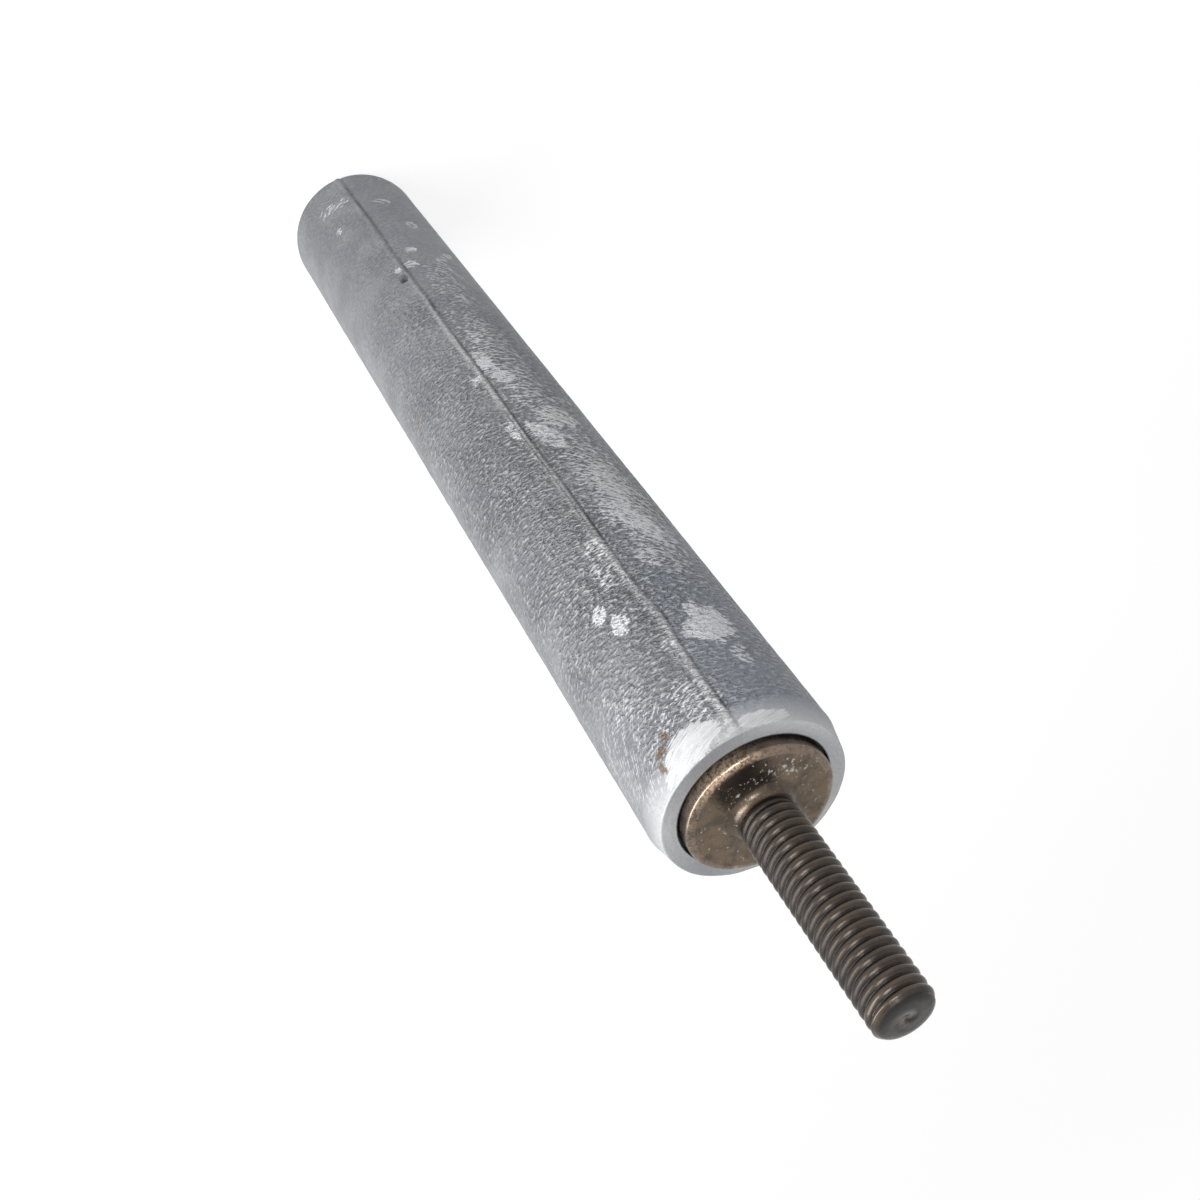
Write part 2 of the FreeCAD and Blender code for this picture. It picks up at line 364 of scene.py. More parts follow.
def rod_outline():
    """Half section of the cast rod, from the plain end's middle out, up and into the core hole.

    Returns radius, height, the share of skin texture and the share of scraped metal."""
    sizes = rod_settings()
    rim = sizes.plain_end_round
    shoulder = ROD_LENGTH - sizes.head_bevel_rise
    ring_edge = ROD_RADIUS - sizes.head_bevel_width
    mouth = COLLAR_RADIUS + sizes.crevice_width
    crevice = ROD_LENGTH - sizes.crevice_depth
    seat = ROD_LENGTH - sizes.collar_sunk
    core = stud_settings().blank_radius
    turn = stretch(0.0, math.pi / 2, 8)
    bevel = stretch(ROD_RADIUS, ring_edge, 12)
    bevel_rise = stretch(shoulder, ROD_LENGTH, 12)
    bevel_scraped = stretch(0.15, 0.9, 12)
    pieces = (
        (stretch(0.0, ROD_RADIUS - rim, 10), 0.0, 0.6, 0.0),
        (ROD_RADIUS - rim + rim * np.sin(turn), rim - rim * np.cos(turn), 1.0, 0.0),
        (ROD_RADIUS, stretch(rim, shoulder, ROD_ROWS), 1.0, 0.0),
        (bevel, bevel_rise, 0.6, bevel_scraped),
        (stretch(ring_edge, mouth, 10), ROD_LENGTH, 0.6, 1.0),
        (mouth, stretch(ROD_LENGTH, crevice, 3), 0.0, 0.0),
        (stretch(mouth, COLLAR_RADIUS, 2), crevice, 0.0, 0.0),
        (COLLAR_RADIUS, stretch(crevice, seat, 2), 0.0, 0.0),
        (stretch(COLLAR_RADIUS, core, 3), seat, 0.0, 0.0),
        (core, stretch(seat, CORE_END, 3), 0.0, 0.0),
        (np.array([core, 0.0]), CORE_END, 0.0, 0.0),
    )
    return stack_rows(pieces)


def scattered_marks(seed, count, low_arc, high_arc):
    """Random soft marks for the sides of the rod that the photograph doesn't show."""
    draw = np.random.default_rng(seed)
    marks = []
    for _ in range(count):
        across = draw.uniform(low_arc, high_arc)
        along = draw.uniform(6.0, ROD_LENGTH - 6.0)
        size = draw.uniform(0.6, 2.2)
        slant = draw.uniform(-35.0, 35.0)
        tallness = size * draw.uniform(0.8, 2.6)
        strength = draw.uniform(0.3, 0.7)
        marks.append(("", across, along, size, tallness, slant, strength))
    return marks


def skin_masks(arc, tall, around, skin, scraped):
    """Where the skin is rough and bluish, where its peel gets painted light and shade, and where
    shade is painted, from 0 to 1.

    Each is a product of smooth steps and bells in arc from the seam and height, in mm, and
    slow noise varies the rough skin."""
    rough = 0.3 + 0.7 * smooth_step(34.0, 62.0, tall + 6.0 * cell_noise(around, cell=7.0, seed=8))
    rough = rough * (1.0 - 0.5 * smooth_step(9.0, 15.0, arc))
    rough = rough * (1.0 - 0.4 * smooth_step(122.0, 130.0, tall))
    rough = rough * (1.0 - 0.8 * smooth_step(131.5, 133.8, tall))
    rough = rough * (1.0 - 0.7 * smooth_step(6.5, 11.0, arc) * smooth_step(116.0, 127.0, tall))
    rough = rough * (0.75 + 0.35 * cell_noise(around, cell=5.0, seed=9))
    rough = rough * np.where(skin == 1.0, 1.0, 0.5) * (scraped < 1.0)
    cool = smooth_step(0.4, -0.8, arc) * smooth_step(-15.0, -9.0, arc)
    cool = cool * (0.35 + 0.65 * smooth_step(95.0, 115.0, tall))
    # Painted light and shade on the orange peel is stronger on this side, right of the seam
    painted_peel_side = smooth_step(0.6, -0.6, arc) * smooth_step(-10.0, -7.0, arc)
    painted_peel_side = 0.75 * painted_peel_side * smooth_step(36.0, 58.0, tall) * smooth_step(128.0, 112.0, tall)
    # Painted shade: darker bands low on both sides of the seam and at the foot right of it
    left_band = 0.55 * np.exp(-((arc - 8.0) / 3.4) ** 2) * smooth_step(104.0, 84.0, tall)
    right_band = 0.6 * np.exp(-((arc + 6.6) / 2.6) ** 2)
    right_band = right_band * smooth_step(80.0, 70.0, tall) * smooth_step(30.0, 46.0, tall)
    foot = 0.3 * smooth_step(0.5, -1.0, arc) * smooth_step(-17.0, -12.0, arc)
    foot = foot * smooth_step(26.0, 14.0, tall)
    return np.clip(rough, 0.0, 1.0), cool, painted_peel_side, left_band + right_band + foot


def make_rod_mesh():
    """The cast rod's surface as a function of angle and place along its half section.

    Radius and height come from the half section. The skin is then moved along its normal by
    the parting lines, by the orange peel of the mould, by the marks and by the scraping."""
    sizes = rod_settings()
    angle = rod_columns()
    radius, height, skin, scraped = (row[:, None] for row in rod_outline())
    normal_out, normal_up = (row[:, None] for row in outline_normals(radius[:, 0], height[:, 0]))
    arc = np.broadcast_to(angle * ROD_RADIUS, (len(radius), len(angle)))
    tall = np.broadcast_to(height, arc.shape)
    around = np.stack([radius * np.cos(angle), radius * np.sin(angle), tall], axis=-1)

    side = 1.0 * (radius > ROD_RADIUS - sizes.head_bevel_width - 0.02) * (skin > 0.5)
    far_side = scattered_marks(FAR_SEED, FAR_COUNT, *FAR_ARC)
    wrapped = np.where(arc < -17.0, arc + 2 * math.pi * ROD_RADIUS, arc)
    oxide = marks_field(OXIDE_MARKS, arc, tall, around, ragged=0.22, seed=11)
    far_oxide = marks_field(far_side, wrapped, tall, around, ragged=0.3, seed=15)
    oxide = np.maximum(oxide, far_oxide) * side
    stain = marks_field(STAIN_MARKS, arc, tall, around, ragged=0.35, seed=21) * side
    scuff = marks_field(SCUFF_MARKS, arc, tall, around, ragged=0.2, seed=31) * side
    pit = marks_field(PIT_MARKS, arc, tall, around, ragged=0.15, seed=41) * side
    seam, groove, ridge = seam_shape(arc, tall, around)

    peel = 0.6 * cell_noise(around, cell=0.85, seed=1) + 0.5 * cell_noise(around, cell=0.5, seed=2)
    lumps = 0.5 * cell_noise(around, cell=6.0, seed=3) + 0.3 * cell_noise(around, cell=2.2, seed=4)
    facets = cell_noise(around * np.array([1.0, 1.0, 0.5]), cell=1.7, seed=6)
    calm = 1.0 - 0.8 * np.clip(scuff + 0.6 * oxide, 0.0, 1.0)
    grain = 0.45 + 0.55 * smooth_step(20.0, 60.0, tall) * smooth_step(-1.5, 0.5, arc)
    moved = sizes.peel_depth * peel * calm * grain * (1.0 - 0.6 * scraped)
    moved = moved + sizes.lump_depth * lumps + 0.05 * facets * scraped
    moved = moved + seam * side * (1.0 - scraped) - 0.45 * pit - 0.03 * scuff
    moved = skin * (moved - sizes.lump_depth)

    x = (radius + moved * normal_out) * np.cos(angle)
    y = (radius + moved * normal_out) * np.sin(angle)
    z = np.maximum(tall + moved * normal_up, 0.0)
    mesh = lathe_mesh("magnesium_cast", x, y, z)
    rough, cool, painted_peel_side, skin_shade = skin_masks(arc, tall, around, skin, scraped)
    # Painted shade on the head's face, darker round two arcs
    ring_shade = np.exp(-((arc - 4.5) / 7.0) ** 2) + np.exp(-((arc - 24.0) / 7.5) ** 2)
    for name, values in (
        ("oxide", oxide),
        ("stain", stain),
        ("scuff", scuff),
        ("pit", pit),
        ("cool", cool * side),
        # Painted shade on the head's face and in bands low on the rod
        ("painted_shade", (scraped == 1.0) * ring_shade + skin_shade * side),
        ("peel", rough),
        ("painted_peel_side", painted_peel_side * side),
        ("groove", groove * side * (1.0 - scraped)),
        ("scraped", scraped + 0.0 * arc),
        ("ridge", ridge * side * (1.0 - scraped) * smooth_step(30.0, 60.0, tall)),
        ("hidden", (skin == 0.0) + 0.0 * arc),
    ):
        add_mask(mesh, name, values)
    return mesh


def thread_radius(angle, height):
    """Radius of the right-hand rolled thread.

    With the distance from the nearest crest as a share of half the pitch, measured at height
    over pitch less angle over a turn, the radius falls with the square of that share. This
    gives round crests and narrow roots. It grows from the neck's radius, and the tip's chamfer
    cuts it down."""
    sizes = stud_settings()
    first_crest = ROD_LENGTH + sizes.first_crest_height
    phase = (height - first_crest) / sizes.thread_pitch
    phase = phase - (angle - math.atan2(PHOTO_EYE[1], PHOTO_EYE[0])) / (2 * math.pi)
    from_crest = 2.0 * np.abs(phase - np.round(phase))
    flank = 1.0 - from_crest ** 2
    full = sizes.thread_radius - sizes.thread_depth * (1.0 - flank)
    neck_top = ROD_LENGTH + sizes.collar_proud + sizes.neck_length
    grown = smooth_step(neck_top + THREAD_GROWS[0], neck_top + THREAD_GROWS[1], height)
    radius = sizes.blank_radius + (full - sizes.blank_radius) * grown
    chamfer = sizes.thread_radius - sizes.tip_chamfer + (TIP_HEIGHT - height)
    limited = np.minimum(radius, chamfer)
    return limited, flank * grown


def stud_outline():
    """Half section of the stud below its thread, from the core's end up to the neck's fillet.

    Returns radius, height, and the shares of the collar's face and rim."""
    sizes = stud_settings()
    seat = ROD_LENGTH - rod_settings().collar_sunk
    face = ROD_LENGTH + sizes.collar_proud
    width = sizes.shoulder_width
    drop = sizes.shoulder_drop
    fillet = sizes.neck_fillet
    core = sizes.blank_radius
    turn = stretch(0.0, math.pi / 2, 14)
    bend = stretch(0.0, math.pi / 2, 16)
    pieces = (
        (stretch(0.0, core, 3), CORE_END, 0.0, 0.0),
        (core, stretch(CORE_END, seat, 6), 0.0, 0.0),
        (stretch(core, COLLAR_RADIUS, 4), seat, 0.0, 0.0),
        (COLLAR_RADIUS, stretch(seat, face - drop, 14), 0.0, 1.0),
        (COLLAR_RADIUS - width * (1.0 - np.cos(turn)), face - drop * (1.0 - np.sin(turn)), 0.5, 1.0),
        (stretch(COLLAR_RADIUS - width, core + fillet, 38), face, 1.0, 0.0),
        (core + fillet - fillet * np.sin(bend), face + fillet - fillet * np.cos(bend), 0.5, 0.0),
    )
    return stack_rows(pieces)


def make_stud_mesh():
    """The stud's surface as a function of angle and place along its half section.

    Below the fillet's end it is turned, with a little forging noise on the collar. Above, the
    radius follows the thread, and the end face sinks to a bell-shaped centre mark."""
    sizes = stud_settings()
    angle = stretch(0.0, 2 * math.pi, STUD_COLUMNS)
    low_radius, low_height, face, rim = (row[:, None] for row in stud_outline())
    ones = np.ones((1, len(angle)))
    neck = ROD_LENGTH + sizes.collar_proud + sizes.neck_fillet
    rows = int((TIP_HEIGHT - neck) / sizes.thread_pitch * ROWS_PER_TURN)
    high_height = np.linspace(neck, TIP_HEIGHT - sizes.tip_round, rows)[:, None] * ones
    high_radius, crest = thread_radius(angle[None, :], high_height)
    end_share = np.linspace(1.0, 0.0, 16)[1:, None] * ones
    end_radius = end_share * high_radius[-1:]
    mark = sizes.mark_depth * np.exp(-(end_radius / sizes.mark_radius) ** 2)
    end_height = TIP_HEIGHT - mark - sizes.tip_round * end_share ** 6

    radius = np.vstack([low_radius * ones, high_radius, end_radius])
    height = np.vstack([low_height * ones, high_height, end_height])
    around = np.stack([radius * np.cos(angle), radius * np.sin(angle), height], axis=-1)
    forged = 0.5 * cell_noise(around, cell=1.6, seed=51)
    forged = forged + 0.3 * cell_noise(around, cell=0.6, seed=52)
    tail = len(high_height) + len(end_height)
    face_mask = np.vstack([face * ones, np.zeros((tail, len(angle)))])
    rim_mask = np.vstack([rim * ones, np.zeros((tail, len(angle)))])
    height = height + 0.03 * (forged - 0.8) * face_mask
    radius = radius * (1.0 + 0.004 * (forged - 0.8) * rim_mask)
    x = radius * np.cos(angle)
    y = radius * np.sin(angle)
    mesh = lathe_mesh("steel_forged", x, y, height)
    below = np.zeros((len(low_radius), len(angle)))
    beyond = np.zeros(end_height.shape)
    threaded = np.vstack([below, np.ones(crest.shape), beyond])
    tip = np.vstack([below, np.zeros(crest.shape), beyond + 1.0])
    dust = np.zeros(radius.shape)
    for across, along, reach in DUST_CLUSTERS:
        dust = np.maximum(dust, np.exp(-((x - across) ** 2 + (y - along) ** 2) / reach ** 2))
    turned = (np.degrees(angle) + 180.0) % 360.0 - 180.0
    # The collar rim's bronze stretch: partly wear, partly painted highlight
    worn = np.exp(-((turned - RIM_WEAR_AND_HIGHLIGHT_MIDDLE) / RIM_WEAR_AND_HIGHLIGHT_REACH) ** 2)
    worn = worn * np.exp(-((radius - COLLAR_RADIUS + 0.35) / 0.38) ** 2)
    worn = worn * (face_mask + rim_mask > 0.0)
    # Painted shade on one side of the collar's face
    shade = np.exp(-((turned - SHADE_MIDDLE) / SHADE_REACH) ** 2)
    shade = shade * smooth_step(2.8, 4.0, radius)
    spiral = 0.5 + 0.5 * np.sin(2.0 * angle - 5.0 * radius)
    # Painted shade on one side of the thread
    thread_shade = threaded * np.exp(-((turned - THREAD_SHADE_MIDDLE) / THREAD_SHADE_REACH) ** 2)
    top = height.max()
    for name, values in (
        ("dust", dust * face_mask),
        ("worn", np.minimum(worn + 0.25 * rim_mask * face_mask, 1.0)),
        ("shade", shade * face_mask),
        ("crest", np.vstack([below, crest, beyond])),
        ("tip", tip),
        ("swirl", tip * spiral * np.exp(-(radius / 1.3) ** 2)),
        ("face", face_mask),
        ("rim", rim_mask),
        ("threaded", threaded),
        ("thread_shade", thread_shade * smooth_step(top - 1.2, top - 2.4, height)),
    ):
        add_mask(mesh, name, values)
    return mesh


class Finish:
    """A material under construction: each method adds one node and returns its result."""

    def __init__(self, name):
        self.material = bpy.data.materials.new(name)
        self.material.use_nodes = True
        self.tree = self.material.node_tree
        self.tree.nodes.clear()
        self.shader = self.add("ShaderNodeBsdfPrincipled")
        output = self.add("ShaderNodeOutputMaterial")
        self.tree.links.new(self.shader.outputs[0], output.inputs[0])
        place = self.add("ShaderNodeTexCoord").outputs["Object"]
        scaled = self.add("ShaderNodeVectorMath", operation="SCALE")
        self.tree.links.new(place, scaled.inputs[0])
        scaled.inputs["Scale"].default_value = 1.0 / MM
        self.place = scaled.outputs[0]

    def add(self, kind, **settings):
        """Adds a node with its settings."""
        node = self.tree.nodes.new(kind)
        for name, value in settings.items():
            setattr(node, name, value)
        return node

    def feed(self, socket, value):
        """Links a result to a socket, or sets the socket to a plain value."""
        if isinstance(value, bpy.types.NodeSocket):
            self.tree.links.new(value, socket)
        elif socket.type == "RGBA":
            socket.default_value = (*value, 1.0)
        else:
            socket.default_value = value

    def mask(self, name):
        """Reads one of the mesh's own numbers."""
        return self.add("ShaderNodeAttribute", attribute_name=name).outputs["Fac"]

    def math(self, operation, first, second):
        """One operation on two numbers."""
        node = self.add("ShaderNodeMath", operation=operation)
        self.feed(node.inputs[0], first)
        self.feed(node.inputs[1], second)
        return node.outputs[0]

    def times(self, first, second):
        """The product of two numbers."""
        return self.math("MULTIPLY", first, second)

    def plus(self, first, second):
        """The sum of two numbers."""
        return self.math("ADD", first, second)

    def about_middle(self, noise):
        """Noise less its middle, so that a mask fades it without a step."""
        return self.math("SUBTRACT", noise, 0.5)

    def grade(self, value, low, high, start=0.0, end=1.0):
        """Carries value from the range low to high over to start to end, smoothly."""
        node = self.add("ShaderNodeMapRange", interpolation_type="SMOOTHSTEP")
        for socket, number in zip(node.inputs, (value, low, high, start, end)):
            self.feed(socket, number)
        return node.outputs[0]

    def mix(self, share, first, second):
        """Blends two colours."""
        node = self.add("ShaderNodeMix", data_type="RGBA")
        self.feed(node.inputs[0], share)
        self.feed(node.inputs[6], first)
        self.feed(node.inputs[7], second)
        return node.outputs[2]

    def noise(self, scale, detail=2.0, place=None, roughness=0.5, distortion=0.0):
        """Fractal noise with this many features to the millimetre."""
        node = self.add("ShaderNodeTexNoise")
        self.feed(node.inputs["Vector"], place or self.place)
        node.inputs["Scale"].default_value = scale
        node.inputs["Detail"].default_value = detail
        node.inputs["Roughness"].default_value = roughness
        node.inputs["Distortion"].default_value = distortion
        return node.outputs["Fac"]

    def cylinder_place(self, radius, across, along, slant=0.0, bend=0.0):
        """Arc and height on a round surface, stretched by across and along.

        The height is first lowered by slant times the arc and bend times its square, so noise
        there makes strokes along slanting or bending lines."""
        parts = self.add("ShaderNodeSeparateXYZ")
        self.feed(parts.inputs[0], self.place)
        arc = self.times(self.math("ARCTAN2", parts.outputs[1], parts.outputs[0]), radius)
        drop = self.plus(self.times(arc, bend), slant)
        height = self.math("SUBTRACT", parts.outputs[2], self.times(arc, drop))
        joined = self.add("ShaderNodeCombineXYZ")
        self.feed(joined.inputs[0], self.times(arc, across))
        self.feed(joined.inputs[1], self.times(height, along))
        return joined.outputs[0]

    def bump(self, height, distance, strength=1.0, normal=None):
        """Tilts the surface by a height, where distance is in metres."""
        node = self.add("ShaderNodeBump")
        node.inputs["Strength"].default_value = strength
        node.inputs["Distance"].default_value = distance
        self.feed(node.inputs["Height"], height)
        if normal is not None:
            self.feed(node.inputs["Normal"], normal)
        return node.outputs[0]


def make_magnesium():
    """Cast magnesium: grey mottled skin, pale crests that are partly worn and partly painted
    highlight, painted shade, white oxide, scrapes and stains.
    """
    colours = rod_settings()
    finish = Finish("cast_magnesium")
    peel = finish.noise(1.45, 2.0, finish.cylinder_place(ROD_RADIUS, 1.0, 1.75), 0.5, 0.3)
    fine = finish.noise(4.5, 3.0, roughness=0.65)
    mottle = finish.noise(0.2, 4.0, roughness=0.6)
    bending = finish.cylinder_place(ROD_RADIUS, 0.4, 1.9, 0.0, 0.09)
    strokes = finish.noise(1.5, 4.0, bending, 0.65, 0.5)
    brushed = finish.noise(2.2, 5.0, finish.cylinder_place(ROD_RADIUS, 0.25, 2.4, 0.3), 0.7, 0.2)
    rough_skin = finish.mask("peel")

    grey = finish.grade(mottle, 0.35, 0.65, 0.45, 1.0)
    colour = finish.mix(grey, colours.dark_skin, colours.grey_skin)
    colour = finish.mix(finish.grade(fine, 0.35, 0.65, 0.12, 0.0), colour, colours.dark_skin)
    colour = finish.mix(finish.times(finish.mask("cool"), 0.8), colour, colours.blue_skin)
    # The peel's pale crests are partly worn and partly painted highlight, and its darker hollows are
    # painted shade
    painted = finish.math("MAXIMUM", finish.mask("painted_peel_side"), finish.times(rough_skin, 0.75))
    crests = finish.times(finish.grade(peel, 0.52, 0.66), painted)
    colour = finish.mix(crests, colour, colours.pale_skin)
    hollows = finish.times(finish.grade(peel, 0.48, 0.36), painted)
    colour = finish.mix(hollows, colour, colours.dark_skin)

    worn = finish.plus(finish.mask("oxide"), finish.grade(strokes, 0.36, 0.64, -0.58, 0.5))
    worn = finish.plus(worn, finish.grade(peel, 0.36, 0.62, -0.3, 0.2))
    worn = finish.plus(worn, finish.grade(fine, 0.35, 0.7, -0.12, 0.12))
    worn = finish.grade(worn, 0.22, 0.62)
    worn = finish.times(worn, finish.grade(finish.mask("oxide"), 0.0, 0.3))
    colour = finish.mix(finish.times(worn, 0.85), colour, colours.oxide)

    ridge = finish.times(finish.mask("ridge"), finish.grade(fine, 0.35, 0.6, 0.25, 0.7))
    colour = finish.mix(ridge, colour, colours.pale_skin)
    edge = finish.times(finish.mask("scraped"), finish.grade(fine, 0.35, 0.65, 0.75, 1.0))
    colour = finish.mix(edge, colour, colours.ring_grey)
    # Painted shade on the head's face and in bands low on the rod
    colour = finish.mix(finish.times(finish.mask("painted_shade"), 0.6), colour, colours.dark_skin)
    scrape = finish.plus(finish.mask("scuff"), finish.grade(brushed, 0.35, 0.65, -0.45, 0.2))
    scrape = finish.grade(scrape, 0.3, 0.75)
    brushed_metal = finish.mix(finish.grade(brushed, 0.4, 0.6), colours.ring_grey, colours.scraped)
    colour = finish.mix(scrape, colour, brushed_metal)

    stained = finish.plus(finish.mask("stain"), finish.grade(fine, 0.3, 0.7, -0.3, 0.2))
    colour = finish.mix(finish.grade(stained, 0.1, 0.6, 0.0, 0.85), colour, colours.stain)
    colour = finish.mix(finish.times(finish.mask("groove"), 0.75), colour, colours.groove)
    colour = finish.mix(finish.times(finish.mask("pit"), 0.85), colour, colours.groove)
    colour = finish.mix(finish.mask("hidden"), colour, colours.groove)
    finish.feed(finish.shader.inputs["Base Color"], colour)

    rough = finish.plus(0.48, finish.times(worn, 0.15))
    finish.feed(finish.shader.inputs["Roughness"], rough)
    finish.shader.inputs["Metallic"].default_value = 0.25
    finish.shader.inputs["Specular IOR Level"].default_value = 0.3

    calm = finish.math("SUBTRACT", 1.0, finish.times(scrape, 0.92))
    bumps = finish.times(finish.about_middle(peel), finish.times(rough_skin, calm))
    normal = finish.bump(bumps, PEEL_BUMP)
    normal = finish.bump(finish.times(finish.about_middle(fine), calm), SKIN_BUMP, 1.0, normal)
    lines = finish.times(finish.about_middle(brushed), scrape)
    normal = finish.bump(lines, BRUSH_BUMP, 1.0, normal)
    finish.feed(finish.shader.inputs["Normal"], normal)
    return finish.material


def make_steel():
    """Oiled brown steel: glossy mottled collar, rim partly worn bronze and partly painted highlight,
    painted highlight on the crests, painted shade in the roots and on one side of the thread and of
    the collar's face.
    """
    colours = stud_settings()
    finish = Finish("stud_steel")
    blotch = finish.noise(0.55, 4.0, roughness=0.6)
    fine = finish.noise(3.0, 4.0, roughness=0.65)
    specks = finish.noise(2.4, 3.0, roughness=0.7)
    colour = finish.mix(finish.grade(blotch, 0.35, 0.65), colours.blotch_and_shade_steel, colours.brown_steel)
    olive = finish.times(finish.mask("face"), finish.grade(blotch, 0.35, 0.6, 0.35, 0.95))
    colour = finish.mix(olive, colour, colours.collar_steel)
    # Painted shade on one side of the collar's face
    colour = finish.mix(finish.times(finish.mask("shade"), 0.8), colour, colours.blotch_and_shade_steel)
    rim = finish.times(finish.mask("rim"), finish.grade(blotch, 0.4, 0.62, 0.1, 0.5))
    colour = finish.mix(rim, colour, colours.rim_steel)
    # Bronze on the collar's rim: partly wear, partly painted highlight
    rim_wear_and_highlight = finish.times(finish.mask("worn"), finish.grade(fine, 0.4, 0.58, 0.2, 1.0))
    colour = finish.mix(rim_wear_and_highlight, colour, colours.bronze)
    # Painted highlight on the thread's crests
    crest_highlight = finish.grade(finish.mask("crest"), 0.85, 1.0, 0.0, 0.06)
    colour = finish.mix(crest_highlight, colour, colours.bronze)
    # Painted shade in the thread's roots
    roots = finish.times(finish.mask("threaded"), finish.grade(finish.mask("crest"), 0.6, 0.0))
    colour = finish.mix(finish.times(roots, 0.85), colour, colours.shade_steel)
    # Painted shade on one side of the thread
    colour = finish.mix(finish.times(finish.mask("thread_shade"), 0.8), colour, colours.shade_steel)
    colour = finish.mix(finish.mask("tip"), colour, colours.tip_steel)
    swirl = finish.times(finish.mask("swirl"), finish.grade(fine, 0.3, 0.7, 0.3, 0.9))
    colour = finish.mix(swirl, colour, colours.rim_steel)
    dust = finish.times(finish.mask("dust"), 0.55)
    dust = finish.plus(dust, finish.grade(specks, 0.3, 0.8, -1.45, 0.5))
    dust = finish.times(finish.mask("face"), finish.grade(dust, 0.0, 0.3))
    colour = finish.mix(finish.times(dust, 0.8), colour, colours.dust)
    finish.feed(finish.shader.inputs["Base Color"], colour)
    plain = finish.grade(finish.mask("threaded"), 0.0, 1.0, 1.0, 0.15)
    rough = finish.plus(0.29, finish.times(finish.about_middle(fine), finish.times(plain, 0.4)))
    rough = finish.plus(rough, finish.times(dust, 0.4))
    rough = finish.plus(rough, finish.times(finish.mask("thread_shade"), 0.12))
    finish.feed(finish.shader.inputs["Roughness"], rough)
    finish.shader.inputs["Metallic"].default_value = 0.75
    normal = finish.bump(blotch, FORGE_BUMP, 0.5)
    normal = finish.bump(finish.times(finish.about_middle(fine), plain), GRAIN_BUMP, 0.6, normal)
    finish.feed(finish.shader.inputs["Normal"], normal)
    return finish.material


def seen_share(tree):
    """1 for the camera's own rays and for those of gloss and glass, and 0 for the others."""
    light_path = tree.nodes.new("ShaderNodeLightPath")
    total = light_path.outputs[SEEN_RAYS[0]]
    for name in SEEN_RAYS[1:]:
        either = tree.nodes.new("ShaderNodeMath")
        either.operation = "MAXIMUM"
        tree.links.new(total, either.inputs[0])
        tree.links.new(light_path.outputs[name], either.inputs[1])
        total = either.outputs[0]
    return total


def make_paper():
    """White floor: lit matt white, with white light of its own towards the camera.

    Its own light takes over with the distance from the rod, so no far edge shows."""
    material = bpy.data.materials.new("white_paper")
    material.use_nodes = True
    tree = material.node_tree
    tree.nodes.clear()
    matt = tree.nodes.new("ShaderNodeBsdfDiffuse")
    matt.inputs["Color"].default_value = (PAPER_WHITE, PAPER_WHITE, PAPER_WHITE, 1.0)
    glow = tree.nodes.new("ShaderNodeEmission")
    glow.inputs["Strength"].default_value = PAPER_GLOW
    blend = tree.nodes.new("ShaderNodeMixShader")
    seen = tree.nodes.new("ShaderNodeMath")
    seen.operation = "MULTIPLY"
    tree.links.new(seen_share(tree), seen.inputs[0])
    place = tree.nodes.new("ShaderNodeTexCoord")
    reach = tree.nodes.new("ShaderNodeVectorMath")
    reach.operation = "LENGTH"
    tree.links.new(place.outputs["Object"], reach.inputs[0])
    far = tree.nodes.new("ShaderNodeMapRange")
    span = (PAPER_NEAR, PAPER_FAR, NEAR_SHARE, FAR_SHARE)
    for socket, number in zip(tuple(far.inputs)[1:5], span):
        socket.default_value = number
    tree.links.new(reach.outputs["Value"], far.inputs[0])
    tree.links.new(far.outputs[0], seen.inputs[1])
    output = tree.nodes.new("ShaderNodeOutputMaterial")
    tree.links.new(seen.outputs[0], blend.inputs[0])
    tree.links.new(matt.outputs[0], blend.inputs[1])
    tree.links.new(glow.outputs[0], blend.inputs[2])
    tree.links.new(blend.outputs[0], output.inputs[0])
    return material


def make_world():
    """White to the camera and in gloss, and soft grey light on matt surfaces."""
    world = bpy.data.worlds.new("studio")
    bpy.context.scene.world = world
    world.use_nodes = True
    tree = world.node_tree
    background = tree.nodes["Background"]
    background.inputs["Color"].default_value = (1.0, 1.0, 1.0, 1.0)
    strength = tree.nodes.new("ShaderNodeMapRange")
    tree.links.new(seen_share(tree), strength.inputs[0])
    strength.inputs[3].default_value = WORLD_LIGHT
    strength.inputs[4].default_value = WORLD_WHITE
    tree.links.new(strength.outputs[0], background.inputs["Strength"])


def add_piece(mesh, node, material):
    """Puts a finished mesh in the scene in place of its plain node."""
    piece = bpy.data.objects.new(mesh.name, mesh)
    bpy.context.scene.collection.objects.link(piece)
    mesh.materials.append(material)
    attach(piece, "root")
    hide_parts(node)
    return piece


def add_softbox(name, place, width, height, power):
    """A soft lamp aimed at the upper part of the rod."""
    aim = Vector((0.0, 0.0, ROD_LENGTH * MM * AIM_SHARE))
    lamp = bpy.data.lights.new(name, "AREA")
    lamp.shape = "RECTANGLE"
    lamp.size = width
    lamp.size_y = height
    lamp.energy = power
    holder = bpy.data.objects.new(name, lamp)
    holder.location = place
    holder.rotation_mode = "QUATERNION"
    holder.rotation_quaternion = (aim - Vector(place)).to_track_quat("-Z", "Y")
    bpy.context.scene.collection.objects.link(holder)


